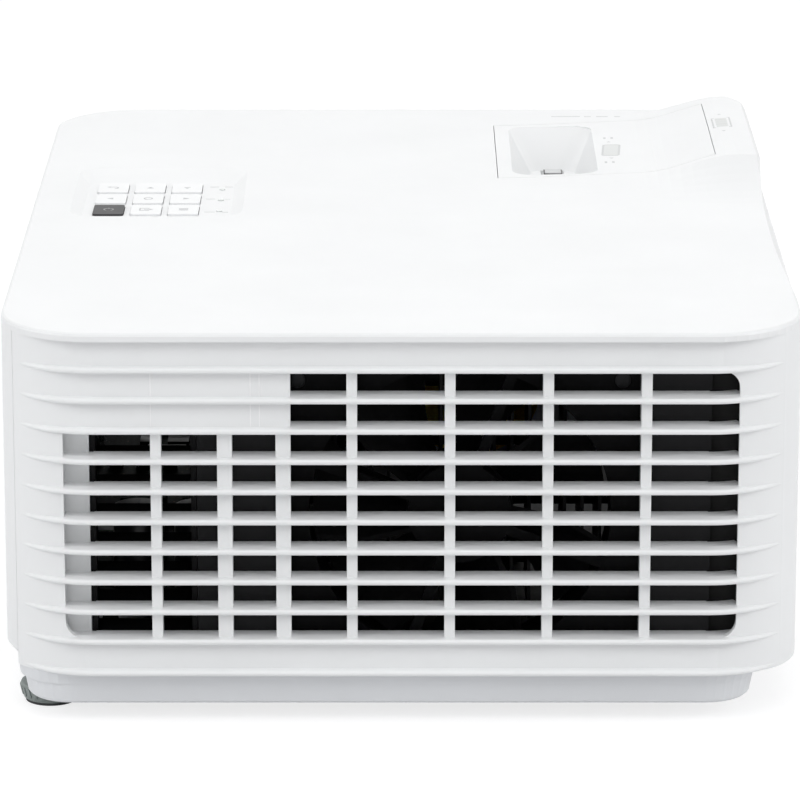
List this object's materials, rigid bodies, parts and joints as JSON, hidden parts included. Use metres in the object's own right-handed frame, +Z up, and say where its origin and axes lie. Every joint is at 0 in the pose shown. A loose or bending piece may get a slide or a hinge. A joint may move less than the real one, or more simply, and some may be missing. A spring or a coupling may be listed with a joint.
{
  "type": "laser installation projector",
  "caption": "Box-shaped laser projector with louvred sides, an off-centre recessed zoom lens, a keypad, inner cooling fans and light engine, a rear connector bay and adjuster feet.",
  "frame": {"origin": "on the table, under the middle of the housing seen from above", "axes": "+X towards the screen, +Y to the projector's left, where the lens is, +Z up"},
  "size_m": [0.305, 0.405, 0.1655],
  "materials": {
    "white_shell": "fine satin",
    "grey_white_shell": "satin",
    "black_plastic": "satin",
    "dark_window": "gloss",
    "black_screw": "blackened",
    "dark_grey_key": "satin",
    "white_key": "satin",
    "circuit_board": "solder resist",
    "light_guide": "clear",
    "cast_aluminium": "die cast",
    "lens_black": "satin",
    "optical_glass": "coated",
    "copper_block": "bare copper",
    "fin_aluminium": "mill",
    "phosphor_disc": "phosphor coat",
    "motor_metal": "drawn",
    "coloured_glass": "dichroic",
    "dark_sheet": "dark coat",
    "fan_black": "moulded",
    "socket_metal": "plated",
    "jack_plastic": "moulded",
    "foot_grey": "satin",
    "foot_rubber": "matte",
    "brass_insert": "turned"
  },
  "bodies": {
    "housing": {"bottom_case": "grey_white_shell", "top_cover": "white_shell", "lens_access_cover": "white_shell", "right_side_grille": "white_shell", "left_side_grille": "white_shell", "front_cover": "white_shell", "rear_cover": "white_shell", "connector_plate": "black_plastic", "lens_bezel": "black_plastic", "ir_window": "dark_window", "cover_screws": "black_screw", "keypad_board": "circuit_board", "status_lights": "light_guide", "lens_mount": "cast_aluminium", "lens_barrel": "lens_black", "laser_module": "copper_block", "laser_heat_sink": "fin_aluminium", "phosphor_wheel_motor": "motor_metal", "colour_wheel_motor": "motor_metal", "engine_housing": "cast_aluminium", "dmd_board": "circuit_board", "dmd_heat_sink": "fin_aluminium", "fan_bracket": "dark_sheet", "exhaust_fan_frame": "fan_black", "light_baffle": "fan_black", "intake_fan_frame": "fan_black", "main_board": "circuit_board", "power_board": "circuit_board", "speaker": "fan_black", "hdmi_sockets": "socket_metal", "usb_socket": "socket_metal", "lan_socket": "socket_metal", "serial_port": "socket_metal", "audio_jacks": "jack_plastic", "power_inlet": "black_plastic", "ceiling_inserts": "brass_insert"},
    "foot_front": {"foot_front": "foot_grey", "pad_front": "foot_rubber"},
    "foot_rear_right": {"foot_rear_right": "foot_grey", "pad_rear_right": "foot_rubber"},
    "foot_rear_left": {"foot_rear_left": "foot_grey", "pad_rear_left": "foot_rubber"},
    "zoom_ring": {"zoom_ring": "lens_black"},
    "zoom_lens_group": {"zoom_lens_group": "lens_black"},
    "focus_ring": {"focus_ring": "lens_black"},
    "front_lens_cell": {"front_lens_cell": "lens_black", "front_lens": "optical_glass"},
    "exhaust_fan_rotor": {"exhaust_fan_rotor": "fan_black"},
    "intake_fan_rotor": {"intake_fan_rotor": "fan_black"},
    "phosphor_wheel": {"phosphor_wheel": "phosphor_disc"},
    "colour_wheel": {"colour_wheel": "coloured_glass"},
    "key_power": {"key_power": "dark_grey_key"},
    "key_source": {"key_source": "white_key"},
    "key_menu": {"key_menu": "white_key"},
    "key_left": {"key_left": "white_key"},
    "key_enter": {"key_enter": "white_key"},
    "key_right": {"key_right": "white_key"},
    "key_back": {"key_back": "white_key"},
    "key_up": {"key_up": "white_key"},
    "key_down": {"key_down": "white_key"}
  },
  "joints": [
    {"name": "key_power_press", "type": "slide", "parent": "housing", "child": "key_power", "axis": [0, 0, -1], "range_m": [0, 0.0006], "stiffness_N_per_m": 2500, "springref_m": -0.0002},
    {"name": "key_source_press", "type": "slide", "parent": "housing", "child": "key_source", "axis": [0, 0, -1], "range_m": [0, 0.0006], "stiffness_N_per_m": 2500, "springref_m": -0.0002},
    {"name": "key_menu_press", "type": "slide", "parent": "housing", "child": "key_menu", "axis": [0, 0, -1], "range_m": [0, 0.0006], "stiffness_N_per_m": 2500, "springref_m": -0.0002},
    {"name": "key_left_press", "type": "slide", "parent": "housing", "child": "key_left", "axis": [0, 0, -1], "range_m": [0, 0.0006], "stiffness_N_per_m": 2500, "springref_m": -0.0002},
    {"name": "key_enter_press", "type": "slide", "parent": "housing", "child": "key_enter", "axis": [0, 0, -1], "range_m": [0, 0.0006], "stiffness_N_per_m": 2500, "springref_m": -0.0002},
    {"name": "key_right_press", "type": "slide", "parent": "housing", "child": "key_right", "axis": [0, 0, -1], "range_m": [0, 0.0006], "stiffness_N_per_m": 2500, "springref_m": -0.0002},
    {"name": "key_back_press", "type": "slide", "parent": "housing", "child": "key_back", "axis": [0, 0, -1], "range_m": [0, 0.0006], "stiffness_N_per_m": 2500, "springref_m": -0.0002},
    {"name": "key_up_press", "type": "slide", "parent": "housing", "child": "key_up", "axis": [0, 0, -1], "range_m": [0, 0.0006], "stiffness_N_per_m": 2500, "springref_m": -0.0002},
    {"name": "key_down_press", "type": "slide", "parent": "housing", "child": "key_down", "axis": [0, 0, -1], "range_m": [0, 0.0006], "stiffness_N_per_m": 2500, "springref_m": -0.0002},
    {"name": "foot_front_adjust", "type": "slide", "parent": "housing", "child": "foot_front", "axis": [0, 0, -1], "range_m": [0, 0.012]},
    {"name": "foot_rear_right_adjust", "type": "slide", "parent": "housing", "child": "foot_rear_right", "axis": [0, 0, -1], "range_m": [0, 0.012]},
    {"name": "foot_rear_left_adjust", "type": "slide", "parent": "housing", "child": "foot_rear_left", "axis": [0, 0, -1], "range_m": [0, 0.012]},
    {"name": "zoom_turn", "type": "hinge", "parent": "housing", "child": "zoom_ring", "pos_m": [0.066, 0.114, 0.102], "axis": [1, 0, 0], "range_deg": [-13, 13]},
    {"name": "zoom_group_slide", "type": "slide", "parent": "housing", "child": "zoom_lens_group", "axis": [1, 0, 0], "range_m": [-0.0045, 0.0045]},
    {"name": "focus_turn", "type": "hinge", "parent": "housing", "child": "focus_ring", "pos_m": [0.13, 0.114, 0.102], "axis": [1, 0, 0], "range_deg": [-55, 55]},
    {"name": "front_cell_slide", "type": "slide", "parent": "housing", "child": "front_lens_cell", "axis": [1, 0, 0], "range_m": [-0.0019, 0.0019]},
    {"name": "exhaust_fan_spin", "type": "hinge", "parent": "housing", "child": "exhaust_fan_rotor", "pos_m": [0.0223, -0.18, 0.082], "axis": [0, 1, 0], "continuous": true},
    {"name": "intake_fan_spin", "type": "hinge", "parent": "housing", "child": "intake_fan_rotor", "pos_m": [-0.02, 0.18, 0.0663], "axis": [0, 1, 0], "continuous": true},
    {"name": "phosphor_wheel_spin", "type": "hinge", "parent": "housing", "child": "phosphor_wheel", "pos_m": [0.028, -0.065, 0.098], "axis": [0, 1, 0], "continuous": true},
    {"name": "colour_wheel_spin", "type": "hinge", "parent": "housing", "child": "colour_wheel", "pos_m": [0.04, 0.012, 0.098], "axis": [0, 1, 0], "continuous": true}
  ],
  "couplings": [
    {"joint": "zoom_turn", "follows": "zoom_group_slide", "rad_per_m": 50},
    {"joint": "focus_turn", "follows": "front_cell_slide", "rad_per_m": 500}
  ]
}
